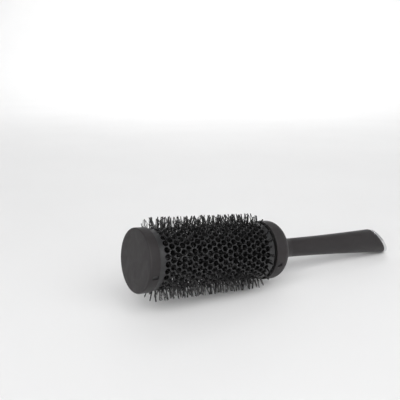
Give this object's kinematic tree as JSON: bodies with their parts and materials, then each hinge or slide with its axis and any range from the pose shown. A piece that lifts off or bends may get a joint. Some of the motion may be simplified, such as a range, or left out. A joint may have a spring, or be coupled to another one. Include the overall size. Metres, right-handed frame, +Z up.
{
  "type": "vented round hairbrush",
  "caption": "Round vented hairbrush: perforated tube barrel with radial bristles on a twisted-wire core, nose cap, domed collar and a tapered soft handle cut off at a slant.",
  "frame": {"origin": "middle of the footprint, on the table that the brush lies on", "axes": "+Z up; +X is the level heading from the nose to the handle end (the brush's own axis dips 6.2 degrees below it); +Y to the left of that heading"},
  "size_m": [0.2656, 0.0606, 0.0686],
  "materials": {
    "ceramic_coat": "satin dark grey ceramic coat on thin perforated aluminium",
    "soft_touch": "soft-touch charcoal",
    "bristle_nylon": "black nylon",
    "moulded_black": "moulded black",
    "gasket_rubber": "black rubber",
    "core_steel": "bright drawn wire",
    "bright_metal": "polished",
    "brushed_metal": "round-brushed, plain",
    "adhesive": "clear bonding pad"
  },
  "bodies": {
    "root": {"badge_adhesive": "adhesive", "barrel": "ceramic_coat", "bristle_row_01": "bristle_nylon", "bristle_row_02": "bristle_nylon", "bristle_row_03": "bristle_nylon", "bristle_row_04": "bristle_nylon", "bristle_row_05": "bristle_nylon", "bristle_row_06": "bristle_nylon", "bristle_row_07": "bristle_nylon", "bristle_row_08": "bristle_nylon", "bristle_row_09": "bristle_nylon", "bristle_row_10": "bristle_nylon", "bristle_row_11": "bristle_nylon", "collar_gasket": "gasket_rubber", "collar_key_1": "moulded_black", "collar_key_2": "moulded_black", "collar_key_3": "moulded_black", "collar_shell": "soft_touch", "core_wire_a": "core_steel", "core_wire_b": "core_steel", "end_badge": "brushed_metal", "end_bezel": "bright_metal", "front_ferrule": "core_steel", "grip_sleeve": "soft_touch", "handle_core": "moulded_black", "nose_cap": "soft_touch", "nose_key_1": "moulded_black", "nose_key_2": "moulded_black", "nose_key_3": "moulded_black", "nose_plug": "moulded_black", "rear_ferrule": "core_steel", "rear_plug": "moulded_black"}
  },
  "joints": []
}
